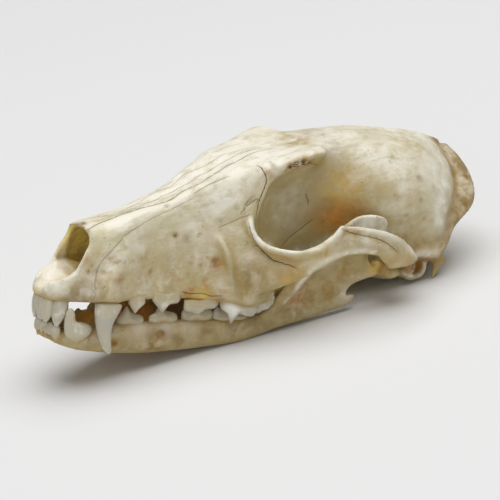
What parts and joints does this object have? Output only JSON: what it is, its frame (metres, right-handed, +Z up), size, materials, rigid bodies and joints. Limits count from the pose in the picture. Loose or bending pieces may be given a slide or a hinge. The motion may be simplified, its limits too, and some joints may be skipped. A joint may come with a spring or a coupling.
{
  "type": "fox skull",
  "caption": "Fox skull with the lower jaw closed: long snout, open eye sockets, cheek arches, ridged back of the head and sharp interlocking teeth. Rests on its jaws.",
  "frame": {"origin": "bottom centre of the bounding box, on the surface that the skull rests on", "axes": "+X from the front teeth to the back of the head, +Y to the animal's right, +Z up"},
  "size_m": [0.1532, 0.0688, 0.0505],
  "materials": {
    "bone": "dry bone, matt to satin",
    "enamel": "satin enamel"
  },
  "bodies": {
    "root": {"cranium": "bone", "lower_jaw_left": "bone", "lower_jaw_right": "bone", "upper_left_incisor_1": "enamel", "upper_right_incisor_1": "enamel", "upper_left_incisor_2": "enamel", "upper_right_incisor_2": "enamel", "upper_left_incisor_3": "enamel", "upper_right_incisor_3": "enamel", "upper_left_canine": "enamel", "upper_right_canine": "enamel", "upper_left_premolar_1": "enamel", "upper_right_premolar_1": "enamel", "upper_left_premolar_2": "enamel", "upper_right_premolar_2": "enamel", "upper_left_premolar_3": "enamel", "upper_right_premolar_3": "enamel", "upper_left_premolar_4": "enamel", "upper_right_premolar_4": "enamel", "upper_left_molar_1": "enamel", "upper_right_molar_1": "enamel", "upper_left_molar_2": "enamel", "upper_right_molar_2": "enamel", "lower_left_incisor_1": "enamel", "lower_right_incisor_1": "enamel", "lower_left_incisor_2": "enamel", "lower_right_incisor_2": "enamel", "lower_left_incisor_3": "enamel", "lower_right_incisor_3": "enamel", "lower_left_canine": "enamel", "lower_right_canine": "enamel", "lower_left_premolar_1": "enamel", "lower_right_premolar_1": "enamel", "lower_left_premolar_2": "enamel", "lower_right_premolar_2": "enamel", "lower_left_premolar_3": "enamel", "lower_right_premolar_3": "enamel", "lower_left_premolar_4": "enamel", "lower_right_premolar_4": "enamel", "lower_left_molar_1": "enamel", "lower_right_molar_1": "enamel", "lower_left_molar_2": "enamel", "lower_right_molar_2": "enamel", "lower_left_molar_3": "enamel", "lower_right_molar_3": "enamel"}
  },
  "joints": []
}
